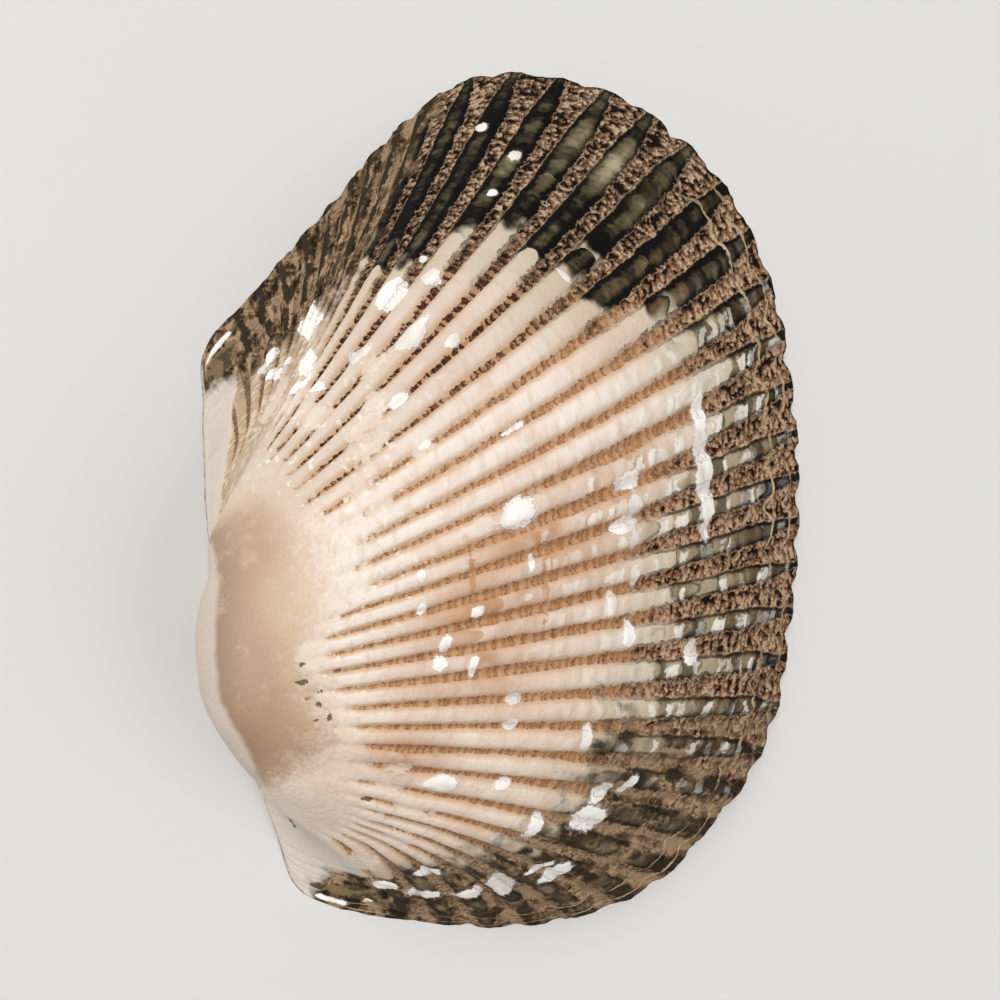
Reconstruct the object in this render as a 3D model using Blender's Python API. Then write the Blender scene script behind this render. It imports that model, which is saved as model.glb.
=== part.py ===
"""Ark clam shell: one left valve, lying convex side up on its flat margin.

The valve is grown by rule, as the animal grows it. The margin is an outline in the plane z = 0, and
every earlier growth stage is the same outline, made smaller towards the apex and turned up about
the hinge. A rib keeps its place along the margin through all stages. The tip of the umbo is worn
blunt, so its dorsal face turns down to the beak instead of curling on.

+X points from the beak to the ventral margin, +Y along the hinge to the posterior end, and +Z up.
The origin is at the middle of the underside. Lengths below are in millimetres.
"""

import math

import bmesh
import bpy
import numpy as np
from mathutils import Vector
from mathutils.bvhtree import BVHTree

MM = 0.001

# Margin, from the posterior-dorsal corner round the ventral side to the anterior-dorsal corner,
# measured from the apex
VENTRAL_MARGIN = (
    (1.8, 20.7), (4.8, 23.7), (9.9, 28.6), (14.4, 32.8), (18.8, 35.2), (24.0, 34.8), (28.5, 32.7),
    (32.5, 28.6), (35.0, 23.0), (35.9, 16.0), (35.7, 9.0), (34.6, 2.0), (32.6, -4.8), (28.6, -10.0),
    (24.6, -13.1), (17.6, -14.5), (10.1, -13.4), (5.9, -12.1), (4.4, -11.1),
)
# Margin along the hinge, from the anterior corner back to the posterior one
HINGE_MARGIN = ((3.4, -7.8), (2.3, -2.5), (1.3, 5.0), (1.1, 12.0), (1.5, 17.8))
OUTLINE_STEPS = 24
MARGIN_SLOPE_REACH = 0.4

# Growth: turn about the hinge, in radians, for each e-fold of size, and the smallest stage that
# still follows it
CURL = 1.05
HANDOVER = 0.27
STAGE_STEP = 0.005

# Worn dorsal face of the umbo: how far it reaches past the hinge margin, between which places
# along the hinge, and the tip of the beak
UMBO_OVERHANG = 1.9
UMBO_MIDDLE = 1.7
UMBO_HALF_WIDTH = 6.1
UMBO_BULGE = 1.7
DORSAL_SOFTNESS = 0.25
BEAK_TIP = Vector((0.35, 2.4, 2.2))

# Ribs, by zones along the margin from the posterior corner: how many, and how wide each is there
FIRST_GROOVE = 3.9
RIB_ZONES = (
    (7, 2.10), (3, 2.70), (3, 2.85), (4, 3.15), (2, 2.95), (4, 2.60), (5, 2.78), (4, 3.05), (3, 2.65),
)
# Section of one rib: place across it, from groove to groove, and height between groove and crest
RIB_SECTION = ((0.0, 0.0), (0.17, 0.8), (0.5, 1.0), (0.83, 0.8))
GROOVE_DEPTH = 0.55
GROOVE_GROWTH = 0.7
SMOOTH_UMBO_STAGE = 0.37
FULL_RIBS_STAGE = 0.48
PLAIN_DORSAL_STRIP = 0.5
FULL_RIBS_FROM_HINGE = 2.4
LOW_RIBS_REACH = 12.0

# Plain ears beside the ribs, and the hinge between them
POSTERIOR_EAR_COLUMNS = 2
ANTERIOR_EAR_COLUMNS = 4
HINGE_COLUMNS = 12
EAR_BLEND = 9.0

# Wall, flat rim and hinge plate
RIM_WIDTH = 1.6
HINGE_PLATE_WIDTH = 3.0
HINGE_PLATE_BLEND = 5.0
WALL_AT_MARGIN = 1.15
WALL_INSIDE = 1.8
WALL_BLEND = 8.0
STEEPEST_WALL = 0.4
INNER_SMOOTHING = 4
INNER_STEP_START = -1.0
INNER_STEP_END = 4.0
CAST_GAP = 0.01
HOLLOW_MIDDLE = Vector((13.0, 7.0, 0.0))

# Rows of the mesh, from the margin to the beak and from the rim to the middle of the hollow
GROWTH_ROWS = 16
BEAK_ROWS = 5
INNER_ROWS = 7

SHELL_COLOUR = (0.72, 0.60, 0.50, 1.0)
SHELL_ROUGHNESS = 0.6


def smoothstep(low, high, value):
    """Return 0 below low, 1 above high and an even rise between them."""
    share = min(max((value - low) / (high - low), 0.0), 1.0)
    return share * share * (3.0 - 2.0 * share)


class Margin:
    """The outline of the valve in the plane z = 0, measured by its length."""

    def __init__(self):
        line = self.curve_points(VENTRAL_MARGIN + HINGE_MARGIN)
        closed = np.vstack([line, line[:1]])
        self.distances = np.concatenate([[0.0], np.cumsum(np.hypot(*np.diff(closed, axis=0).T))])
        self.points = closed
        self.length = self.distances[-1]
        self.hinge_start = self.distances[(len(VENTRAL_MARGIN) - 1) * OUTLINE_STEPS]

    @staticmethod
    def curve_points(knots):
        """Return points along a closed smooth curve through the knots."""
        data = bpy.data.curves.new("margin_line", 'CURVE')
        data.resolution_u = OUTLINE_STEPS
        spline = data.splines.new('BEZIER')
        spline.bezier_points.add(len(knots) - 1)
        for point, (x, y) in zip(spline.bezier_points, knots):
            point.co = (x, y, 0.0)
            point.handle_left_type = 'AUTO'
            point.handle_right_type = 'AUTO'
        spline.use_cyclic_u = True
        guide = bpy.data.objects.new("margin_line", data)
        bpy.context.scene.collection.objects.link(guide)
        bpy.context.view_layer.update()
        mesh = bpy.data.meshes.new_from_object(guide.evaluated_get(bpy.context.evaluated_depsgraph_get()))
        line = np.array([vertex.co[:2] for vertex in mesh.vertices])
        bpy.data.objects.remove(guide)
        bpy.data.meshes.remove(mesh)
        return line

    def point(self, distance):
        """Return the place on the margin at a distance from the posterior-dorsal corner."""
        place = distance % self.length
        x = np.interp(place, self.distances, self.points[:, 0])
        y = np.interp(place, self.distances, self.points[:, 1])
        return Vector((x, y, 0.0))

    def inward(self, distance):
        """Return the direction across the margin into the valve."""
        along = self.point(distance + MARGIN_SLOPE_REACH) - self.point(distance - MARGIN_SLOPE_REACH)
        return Vector((along.y, -along.x, 0.0)).normalized()

    def hinge_line(self, y):
        """Return how far ventrally the hinge margin lies at a place along it."""
        on_hinge = self.distances >= self.hinge_start
        return float(np.interp(y, self.points[on_hinge, 1], self.points[on_hinge, 0]))

    def past_corner(self, distance):
        """Return the distance from the nearer dorsal corner, or 0 on the hinge."""
        return max(min(distance, self.hinge_start - distance), 0.0)


def columns(margin):
    """Return each mesh column as its distance along the margin and its height across a rib."""
    found = [(FIRST_GROOVE * i / (POSTERIOR_EAR_COLUMNS + 1), 1.0) for i in range(POSTERIOR_EAR_COLUMNS + 1)]
    groove = FIRST_GROOVE
    for count, width in RIB_ZONES:
        for _ in range(count):
            found += [(groove + place * width, height) for place, height in RIB_SECTION]
            groove += width
    found.append((groove, 0.0))
    ear = (margin.hinge_start - groove) / ANTERIOR_EAR_COLUMNS
    found += [(groove + ear * i, 1.0) for i in range(1, ANTERIOR_EAR_COLUMNS)]
    hinge = (margin.length - margin.hinge_start) / HINGE_COLUMNS
    found += [(margin.hinge_start + hinge * i, 1.0) for i in range(HINGE_COLUMNS)]
    return found


def grown(edge, stage):
    """Return where a place on the margin lay at an earlier growth stage."""
    turn = CURL * math.log(1.0 / stage)
    reach = edge.x * stage
    return Vector((reach * math.cos(turn), edge.y * stage, reach * math.sin(turn)))


def worn_face(edge, share):
    """Return a point on the dorsal face, from where it leaves the growth rule to the beak's tip."""
    start = grown(edge, HANDOVER)
    leaving = (start - grown(edge, HANDOVER + STAGE_STEP)).normalized()
    arriving = Vector((0.0, BEAK_TIP.y - start.y, BEAK_TIP.z - start.z)).normalized()
    reach = (BEAK_TIP - start).length
    rest = 1.0 - share
    return (start * (1.0 + 2.0 * share) * rest ** 2 + leaving * UMBO_BULGE * reach * share * rest ** 2
            + BEAK_TIP * share ** 2 * (3.0 - 2.0 * share) - arriving * reach * share ** 2 * rest)


def dorsal_limit(margin, y):
    """Return how far dorsally the valve reaches at a place along the hinge."""
    across = (y - UMBO_MIDDLE) / UMBO_HALF_WIDTH
    overhang = UMBO_OVERHANG * math.cos(across * math.pi / 2) if abs(across) < 1.0 else 0.0
    return margin.hinge_line(y) - overhang


def outer_point(margin, distance, row):
    """Return a point of the smooth outer surface, row 0 being the margin."""
    edge = margin.point(distance)
    if row <= GROWTH_ROWS:
        stage = HANDOVER ** (row / GROWTH_ROWS)
        ribbed = grown(edge, stage)
    else:
        share = (row - GROWTH_ROWS) / (BEAK_ROWS + 1)
        stage = HANDOVER * (1.0 - share)
        ribbed = worn_face(edge, share)
    straight = BEAK_TIP.lerp(edge, stage)
    point = straight.lerp(ribbed, smoothstep(0.0, EAR_BLEND, margin.past_corner(distance)))
    if row > 0:
        limit = dorsal_limit(margin, point.y)
        point.x = limit + DORSAL_SOFTNESS * math.log1p(math.exp((point.x - limit) / DORSAL_SOFTNESS))
    return point


def groove_depth(margin, point, edge, row, height):
    """Return how deep the surface lies below the crests of the ribs, which fade out on the umbo,
    beside the hinge and where the valve is low."""
    if row > GROWTH_ROWS:
        return 0.0
    stage = HANDOVER ** (row / GROWTH_ROWS)
    ribs = smoothstep(SMOOTH_UMBO_STAGE, FULL_RIBS_STAGE, stage) * smoothstep(0.0, LOW_RIBS_REACH, edge.x)
    from_hinge = point.x - dorsal_limit(margin, point.y)
    ribs *= smoothstep(PLAIN_DORSAL_STRIP, FULL_RIBS_FROM_HINGE, from_hinge)
    return GROOVE_DEPTH * stage ** GROOVE_GROWTH * ribs * (1.0 - height)


def rim_point(margin, distance):
    """Return the inner edge of the flat rim, or of the hinge plate, on the way to the hollow."""
    edge = margin.point(distance)
    way = (HOLLOW_MIDDLE - edge).normalized()
    on_ribs = smoothstep(0.0, HINGE_PLATE_BLEND, margin.past_corner(distance))
    width = HINGE_PLATE_WIDTH + (RIM_WIDTH - HINGE_PLATE_WIDTH) * on_ribs
    return edge + way * width / max(way.dot(margin.inward(distance)), STEEPEST_WALL)


def ceiling(roof, rim, place):
    """Return the height of the hollow at a place, one wall thickness under the outer surface."""
    hit, normal, _, _ = roof.ray_cast(place + Vector((0.0, 0.0, CAST_GAP)), Vector((0.0, 0.0, 1.0)))
    inside = (place - rim).length
    wall = WALL_AT_MARGIN + (WALL_INSIDE - WALL_AT_MARGIN) * smoothstep(0.0, WALL_BLEND, inside)
    height = max(hit.z - wall / max(abs(normal.z), STEEPEST_WALL), 0.0)
    return height * smoothstep(INNER_STEP_START, INNER_STEP_END, inside)


def lattice(sphere, column_count, row_count):
    """Return the sphere's vertices by column and row, and its two poles."""
    grid = {}
    poles = {}
    for vertex in sphere.verts:
        row = round(math.acos(max(-1.0, min(1.0, vertex.co.z))) / math.pi * row_count)
        if row in (0, row_count):
            poles[row] = vertex
            continue
        turn = math.atan2(vertex.co.y, vertex.co.x) / math.tau
        grid[round(turn * column_count) % column_count, row] = vertex
    return grid, poles[0], poles[row_count]


def build_valve():
    """Make the valve from a sphere: its upper half becomes the outside, its lower half the inside."""
    margin = Margin()
    layout = columns(margin)[::-1]
    margin_row = GROWTH_ROWS + BEAK_ROWS + 1
    row_count = margin_row + INNER_ROWS + 1
    sphere = bmesh.new()
    bmesh.ops.create_uvsphere(sphere, u_segments=len(layout), v_segments=row_count, radius=1.0)
    grid, beak, middle = lattice(sphere, len(layout), row_count)

    beak.co = BEAK_TIP
    middle.co = HOLLOW_MIDDLE
    for (column, row), vertex in grid.items():
        distance = layout[column][0]
        if row <= margin_row:
            vertex.co = outer_point(margin, distance, margin_row - row)
        else:
            share = (row - margin_row - 1) / INNER_ROWS
            vertex.co = rim_point(margin, distance).lerp(HOLLOW_MIDDLE, share)
    sphere.normal_update()
    roof = BVHTree.FromBMesh(sphere)

    for (column, row), vertex in grid.items():
        distance, height = layout[column]
        if row <= margin_row:
            outward = -margin.inward(distance) if row == margin_row else vertex.normal
            edge = margin.point(distance)
            vertex.co -= outward * groove_depth(margin, vertex.co, edge, margin_row - row, height)
        elif row > margin_row + 1:
            vertex.co.z = ceiling(roof, rim_point(margin, distance), vertex.co)
    middle.co.z = ceiling(roof, margin.point(0.0), middle.co)
    hollow = [middle] + [vertex for (_, row), vertex in grid.items() if row > margin_row + 1]
    for _ in range(INNER_SMOOTHING):
        bmesh.ops.smooth_vert(sphere, verts=hollow, factor=0.5, use_axis_z=True)
    return sphere


def centre_on_base(sphere):
    """Scale the valve to metres, with the origin at the middle of its underside."""
    places = np.array([vertex.co for vertex in sphere.verts])
    middle = (places.min(axis=0) + places.max(axis=0)) / 2
    bmesh.ops.translate(sphere, vec=(-middle[0], -middle[1], 0.0), verts=sphere.verts)
    bmesh.ops.scale(sphere, vec=(MM, MM, MM), verts=sphere.verts)


def shell_material():
    """Return the worn white of the shell."""
    material = bpy.data.materials.new("shell")
    material.use_nodes = True
    surface = material.node_tree.nodes["Principled BSDF"]
    surface.inputs["Base Color"].default_value = SHELL_COLOUR
    surface.inputs["Roughness"].default_value = SHELL_ROUGHNESS
    surface.inputs["Metallic"].default_value = 0.0
    return material


def main():
    """Empty the scene and model the valve."""
    for thing in list(bpy.data.objects):
        bpy.data.objects.remove(thing)
    collection = bpy.data.collections.new("ark_clam_shell")
    bpy.context.scene.collection.children.link(collection)

    sphere = build_valve()
    centre_on_base(sphere)
    mesh = bpy.data.meshes.new("valve")
    sphere.to_mesh(mesh)
    sphere.free()
    mesh.shade_smooth()
    mesh.materials.append(shell_material())
    collection.objects.link(bpy.data.objects.new("valve", mesh))


main()
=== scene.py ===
"""Looks of the ark clam shell: one worn left valve, lying on a pale floor and seen from above.

The valve is grown by the rule that also gives its solid. Its margin is an outline in the plane
z = 0, and each earlier growth stage is that outline, made smaller towards the apex and turned up
about the hinge. Here it gets its fine ribs, growth lines, beads, hinge teeth and wear.
Sizes are in millimetres, and the finished mesh is scaled to metres.
"""

import logging
import math
from dataclasses import dataclass
from enum import Enum

import bpy
import numpy as np
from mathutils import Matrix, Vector, noise
from mathutils.bvhtree import BVHTree

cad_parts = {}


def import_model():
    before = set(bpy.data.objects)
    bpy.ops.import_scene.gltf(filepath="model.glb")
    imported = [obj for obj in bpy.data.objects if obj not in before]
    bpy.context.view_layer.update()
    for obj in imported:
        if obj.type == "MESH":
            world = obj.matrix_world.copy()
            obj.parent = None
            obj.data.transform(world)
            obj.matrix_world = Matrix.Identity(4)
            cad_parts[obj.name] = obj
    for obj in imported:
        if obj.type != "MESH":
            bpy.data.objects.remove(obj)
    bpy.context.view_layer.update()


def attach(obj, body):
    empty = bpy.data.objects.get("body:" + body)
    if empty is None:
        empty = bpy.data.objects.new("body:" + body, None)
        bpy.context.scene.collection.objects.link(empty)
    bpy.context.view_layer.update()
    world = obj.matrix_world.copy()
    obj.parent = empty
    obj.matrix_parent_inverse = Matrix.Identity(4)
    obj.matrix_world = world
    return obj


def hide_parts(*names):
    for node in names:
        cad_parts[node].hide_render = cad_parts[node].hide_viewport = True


LOG = logging.getLogger("ark_clam_shell")

MM = 0.001
# The sRGB curve: its top and the end of its straight part as display values, and its constants
DISPLAY_TOP = 255
STRAIGHT_END = 10
STRAIGHT_SLOPE = 12.92
CURVE_OFFSET = 0.055
CURVE_POWER = 2.4

Colour = tuple[float, float, float, float]
Place = tuple[float, float, float]
Reach = tuple[float, float]
Points = tuple[tuple[float, float], ...]
Spots = tuple[tuple[float, float, float, float, float], ...]


class Side(Enum):
    """The two finishes of the valve, by the slot that holds each."""

    OUTSIDE = 0
    INSIDE = 1


def linear(value: int) -> float:
    """Return a display value from 0 to 255 as a linear share."""
    share = value / DISPLAY_TOP
    if value <= STRAIGHT_END:
        return share / STRAIGHT_SLOPE
    return ((share + CURVE_OFFSET) / (1.0 + CURVE_OFFSET)) ** CURVE_POWER


def tint(red: int, green: int, blue: int) -> Colour:
    """Return a display colour as the linear colour that a shader takes.

    Args:
        red: Display value from 0 to 255.
        green: Display value from 0 to 255.
        blue: Display value from 0 to 255.

    Returns:
        Linear red, green and blue, and an alpha of 1.
    """
    return (linear(red), linear(green), linear(blue), 1.0)


def smoothstep(low: float, high: float, value: np.ndarray) -> np.ndarray:
    """Return 0 below low, 1 above high and an even rise between them.

    Args:
        low: Value where the rise starts.
        high: Value where the rise ends.
        value: Values to grade.

    Returns:
        The graded values, of the same shape.
    """
    share = np.clip((value - low) / (high - low), 0.0, 1.0)
    return share * share * (3.0 - 2.0 * share)


@dataclass
class MarginLine:
    """The outline of the valve in the plane z = 0, measured by its length.

    Distances run from the posterior-dorsal corner round the ventral side to the anterior-dorsal
    corner, and back along the hinge.
    """

    ventral: Points = (
        (1.8, 20.7), (4.8, 23.7), (9.9, 28.6), (14.4, 32.8), (18.8, 35.2), (24.0, 34.8), (28.5, 32.7),
        (32.5, 28.6), (35.0, 23.0), (35.9, 16.0), (35.7, 9.0), (34.6, 2.0), (32.6, -4.8), (28.6, -10.0),
        (24.6, -13.1), (17.6, -14.5), (10.1, -13.4), (5.9, -12.1), (4.4, -11.1),
    )
    hinge: Points = ((3.4, -7.8), (2.3, -2.5), (1.3, 5.0), (1.1, 12.0), (1.5, 17.8))
    steps: int = 24
    slope_reach: float = 0.4

    def __post_init__(self) -> None:
        """Lay a smooth closed curve through the knots and measure it."""
        line = self.curve_points()
        self.places = np.vstack([line, line[:1]])
        self.distances = np.concatenate([[0.0], np.cumsum(np.hypot(*np.diff(self.places, axis=0).T))])
        self.length = float(self.distances[-1])
        self.hinge_start = float(self.distances[(len(self.ventral) - 1) * self.steps])

    def curve_points(self) -> np.ndarray:
        """Return points along a closed smooth curve through the knots."""
        knots = self.ventral + self.hinge
        data = bpy.data.curves.new("margin_line", 'CURVE')
        data.resolution_u = self.steps
        spline = data.splines.new('BEZIER')
        spline.bezier_points.add(len(knots) - 1)
        for point, (x, y) in zip(spline.bezier_points, knots):
            point.co = (x, y, 0.0)
            point.handle_left_type = 'AUTO'
            point.handle_right_type = 'AUTO'
        spline.use_cyclic_u = True
        guide = bpy.data.objects.new("margin_line", data)
        bpy.context.scene.collection.objects.link(guide)
        bpy.context.view_layer.update()
        mesh = bpy.data.meshes.new_from_object(guide.evaluated_get(bpy.context.evaluated_depsgraph_get()))
        line = np.array([vertex.co[:2] for vertex in mesh.vertices])
        bpy.data.objects.remove(guide)
        bpy.data.meshes.remove(mesh)
        return line

    def point(self, distance: np.ndarray) -> np.ndarray:
        """Return the places on the margin at some distances, one row each."""
        place = np.mod(distance, self.length)
        x = np.interp(place, self.distances, self.places[:, 0])
        y = np.interp(place, self.distances, self.places[:, 1])
        return np.stack([x, y], axis=-1)

    def inward(self, distance: np.ndarray) -> np.ndarray:
        """Return the directions across the margin into the valve, one row each."""
        along = self.point(distance + self.slope_reach) - self.point(distance - self.slope_reach)
        across = np.stack([along[:, 1], -along[:, 0]], axis=-1)
        return across / np.linalg.norm(across, axis=-1, keepdims=True)

    def hinge_line(self, y: np.ndarray) -> np.ndarray:
        """Return how far ventrally the hinge margin lies at some places along it."""
        on_hinge = self.distances >= self.hinge_start
        return np.interp(y, self.places[on_hinge, 1], self.places[on_hinge, 0])

    def past_corner(self, distance: np.ndarray) -> np.ndarray:
        """Return the distances from the nearer dorsal corner, or 0 on the hinge."""
        return np.clip(np.minimum(distance, self.hinge_start - distance), 0.0, None)


@dataclass
class Ribs:
    """Where the radial ribs meet the margin, and the section of one rib."""

    first_groove: float = 3.9
    zones: tuple[tuple[int, float], ...] = (
        (7, 2.10), (3, 2.70), (3, 2.85), (4, 3.15), (2, 2.95), (4, 2.60), (5, 2.78), (4, 3.05), (3, 2.65),
    )
    columns: tuple[float, ...] = (0.0, 0.09, 0.17, 0.27, 0.4, 0.52, 0.64, 0.75, 0.84, 0.92)
    depth: float = 0.55
    depth_growth: float = 0.7
    groove_share: float = 0.34
    wall_share: float = 0.82
    fade_in: Reach = (-0.06, 0.05)
    plain_strip: float = 0.5
    full_from_hinge: float = 2.4
    low_reach: float = 12.0
    posterior_lean: float = 15.0
    posterior_reach: Reach = (8.0, 26.0)
    oldest_lean: float = 0.4
    anterior_lean: float = 12.0
    anterior_reach: Reach = (80.0, 94.0)

    def grooves(self) -> np.ndarray:
        """Return the distance along the margin of each groove."""
        widths = [width for count, width in self.zones for _ in range(count)]
        return self.first_groove + np.concatenate([[0.0], np.cumsum(widths)])

    def grown_to(self, distance: np.ndarray, stage: np.ndarray) -> np.ndarray:
        """Return where on the margin the ribs through some points end: by the ears they lean outwards."""
        behind = 1.0 - smoothstep(*self.posterior_reach, distance)
        ahead = smoothstep(*self.anterior_reach, distance)
        age = np.minimum(1.0 - stage, self.oldest_lean)
        return distance + (self.anterior_lean * ahead - self.posterior_lean * behind) * age

    def place(self, distance: np.ndarray) -> np.ndarray:
        """Return the rib coordinate of some places on the margin: a whole number in each groove."""
        grooves = self.grooves()
        before = (distance - grooves[0]) / self.zones[0][1]
        after = len(grooves) - 1 + (distance - grooves[-1]) / self.zones[-1][1]
        inside = np.interp(distance, grooves, np.arange(len(grooves)))
        return np.where(distance < grooves[0], before, np.where(distance > grooves[-1], after, inside))

    def hollow(self, rib: np.ndarray) -> np.ndarray:
        """Return 1 in the middle of a groove and 0 on the rounded crest of a rib."""
        from_groove = np.abs(rib - np.round(rib))
        wall = 1.0 - smoothstep(0.0, self.groove_share, from_groove)
        return self.wall_share * wall + (1.0 - self.wall_share) * (1.0 - from_groove * 2.0)


@dataclass(frozen=True)
class WearLine:
    """A line across the ribs: knots of place and stage, and the field of stages past it.

    The fade is the change of stage for which the field rises by 1. Below 0, it rises to the umbo.
    """

    knots: Points
    fade: float
    low: float = -1.5
    high: float = 1.5

    def stage(self, distance: np.ndarray) -> np.ndarray:
        """Return the growth stage of the line at some distances along the margin."""
        along, stages = np.array(self.knots).T
        return np.interp(distance, along, stages)

    def past(self, distance: np.ndarray, stage: np.ndarray) -> np.ndarray:
        """Return a field that is 0 along the line, kept between its low and high ends."""
        return np.clip((stage - self.stage(distance)) / self.fade, self.low, self.high)


@dataclass
class WearMap:
    """Where the shell has kept its skin, is stained or is chipped.

    Places are millimetres along the margin, and growth stages from the margin at 1. A spot is a
    place, a stage, a half width in millimetres, a half height in stages and a lean in millimetres
    along the margin for a whole stage.
    """

    # Where the skin, the ribs, the tan umbo and the pale crescent behind it begin
    skin_line: WearLine = WearLine((
        (-4.0, 1.3), (-1.2, 1.02), (0.0, 0.90), (1.5, 0.86), (3.5, 0.83), (6.0, 0.78), (9.0, 0.77),
        (12.0, 0.76), (14.5, 0.755), (17.5, 0.72), (20.5, 0.70), (25.5, 0.70), (28.0, 0.735),
        (30.5, 0.765), (35.0, 0.77), (40.0, 0.785), (43.5, 0.82), (46.0, 0.86), (49.0, 0.89),
        (53.0, 0.86), (56.0, 0.80), (60.0, 0.79), (66.0, 0.79), (70.0, 0.785), (74.0, 0.77),
        (76.5, 0.77), (79.5, 0.785), (83.0, 0.755), (86.0, 0.735), (93.5, 0.73), (96.5, 0.78),
        (99.5, 0.81), (102.0, 0.84), (104.6, 0.93), (106.0, 1.3),
    ), fade=0.08, low=-2.5, high=2.5)
    groove_line: WearLine = WearLine((
        (14.0, 0.56), (22.2, 0.45), (24.0, 0.42), (26.6, 0.41), (38.0, 0.395), (41.5, 0.41),
        (44.6, 0.455), (47.7, 0.45), (50.9, 0.43), (53.8, 0.455), (56.7, 0.40), (59.0, 0.39),
        (64.0, 0.39), (66.7, 0.40), (69.6, 0.415), (72.5, 0.43), (75.5, 0.45), (81.3, 0.47),
        (86.6, 0.51), (92.0, 0.55), (97.0, 0.60),
    ), fade=0.03)
    umbo_line: WearLine = WearLine((
        (14.0, 0.28), (20.5, 0.31), (26.5, 0.345), (33.0, 0.375), (40.0, 0.385), (60.0, 0.375),
        (70.0, 0.38), (76.0, 0.38), (82.0, 0.355), (88.0, 0.32), (95.0, 0.28),
    ), fade=-0.06)
    crescent_line: WearLine = WearLine((
        (30.0, 0.272), (41.0, 0.268), (47.0, 0.255), (53.0, 0.25), (64.0, 0.248), (70.0, 0.262),
        (76.0, 0.285), (82.0, 0.31), (90.0, 0.34),
    ), fade=-0.02, low=-4.0, high=1.0)
    # Where the colours grade from those behind to those in front
    posterior_reach: Reach = (36.0, 43.0)
    dusky_reach: Reach = (17.0, 24.0)
    anterior_reach: Reach = (58.0, 78.0)
    bead_reach: tuple[float, float, float, float] = (42.0, 50.0, 74.0, 81.0)
    bead_stages: Reach = (0.56, 0.74)
    bead_pitch: float = 0.0195
    chips: Spots = (
        (1.3, 0.946, 1.5, 0.014, 0), (8.5, 0.745, 1.4, 0.024, -15), (15.8, 0.687, 1.5, 0.058, -38),
        (20.4, 0.565, 1.3, 0.040, -50), (21.9, 0.516, 1.5, 0.016, 0), (26.0, 0.653, 1.25, 0.023, 0),
        (25.6, 0.509, 1.0, 0.010, 0), (27.4, 0.560, 1.2, 0.018, 0), (28.4, 0.683, 0.9, 0.015, 0),
        (30.8, 0.605, 1.3, 0.026, 0), (34.5, 0.629, 0.55, 0.010, 0), (35.3, 0.540, 0.8, 0.017, 0),
        (25.0, 0.911, 0.45, 0.008, 0), (28.2, 0.875, 0.5, 0.009, 0), (28.4, 0.815, 0.4, 0.007, 0),
        (26.6, 0.710, 0.3, 0.005, 0), (36.8, 0.768, 0.9, 0.004, 0), (52.1, 0.614, 1.7, 0.028, 0),
        (51.0, 0.857, 1.3, 0.010, 0), (52.9, 0.852, 1.3, 0.011, 0), (55.0, 0.853, 1.6, 0.013, 0),
        (57.0, 0.856, 1.5, 0.010, 0), (59.0, 0.853, 1.0, 0.008, 0), (67.2, 0.846, 0.9, 0.011, 0),
        (55.5, 0.756, 1.0, 0.012, 0), (56.6, 0.748, 0.8, 0.018, 0), (58.0, 0.754, 1.0, 0.008, 0),
        (53.4, 0.750, 0.7, 0.022, 0), (60.9, 0.755, 0.75, 0.006, 0), (65.3, 0.752, 1.45, 0.008, 0),
        (62.4, 0.726, 1.3, 0.007, 0), (57.0, 0.626, 1.2, 0.005, 0), (60.3, 0.563, 0.6, 0.008, 0),
        (66.1, 0.559, 1.2, 0.006, 0), (63.2, 0.525, 1.1, 0.009, 0), (65.3, 0.520, 1.25, 0.011, 0),
        (54.9, 0.500, 1.0, 0.006, 0), (58.6, 0.499, 0.75, 0.007, 0), (69.7, 0.614, 0.6, 0.012, 0),
        (41.3, 0.533, 0.5, 0.010, 0), (44.7, 0.630, 0.35, 0.014, 0), (73.5, 0.720, 1.5, 0.007, 0),
        (77.2, 0.816, 0.8, 0.008, 0), (78.2, 0.785, 1.05, 0.012, 0), (80.5, 0.798, 1.35, 0.024, 0),
        (82.3, 0.731, 1.4, 0.012, 60), (85.9, 0.845, 1.5, 0.016, 55), (86.0, 0.815, 1.5, 0.006, 30),
        (89.4, 0.826, 1.05, 0.036, 20), (92.5, 0.845, 1.3, 0.020, 45), (95.6, 0.842, 1.15, 0.026, 30),
        (97.9, 0.820, 1.0, 0.026, 25), (92.5, 0.742, 1.0, 0.018, 25), (78.6, 0.644, 0.65, 0.012, 0),
        (72.2, 0.615, 0.7, 0.009, 0), (79.6, 0.566, 1.2, 0.026, 0), (103.4, 0.965, 1.1, 0.018, 25),
        (100.6, 0.925, 0.35, 0.015, 25), (12.4, 0.655, 1.6, 0.012, -45), (10.0, 0.690, 0.9, 0.014, -30),
    )
    veils: Spots = (
        (15.0, 0.560, 3.4, 0.070, -45), (22.5, 0.490, 3.0, 0.030, 0), (26.6, 0.475, 1.8, 0.022, 0),
        (29.1, 0.470, 1.2, 0.028, 0), (35.1, 0.497, 1.2, 0.040, 0), (38.0, 0.483, 1.2, 0.030, 0),
        (41.3, 0.530, 1.2, 0.020, 0), (41.5, 0.455, 1.2, 0.020, 0), (61.0, 0.372, 3.6, 0.024, 0),
        (78.1, 0.500, 1.0, 0.022, 0), (81.3, 0.500, 1.2, 0.032, 0), (83.7, 0.550, 1.2, 0.050, 0),
        (89.0, 0.600, 2.2, 0.046, 20), (97.0, 0.700, 2.2, 0.060, 20), (30.0, 0.560, 1.4, 0.030, 0),
        (33.0, 0.520, 1.2, 0.022, 0), (44.7, 0.470, 1.4, 0.020, 0), (52.0, 0.575, 1.2, 0.020, 0),
        (68.0, 0.430, 1.5, 0.012, 0), (86.5, 0.520, 1.5, 0.030, 0),
    )
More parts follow.
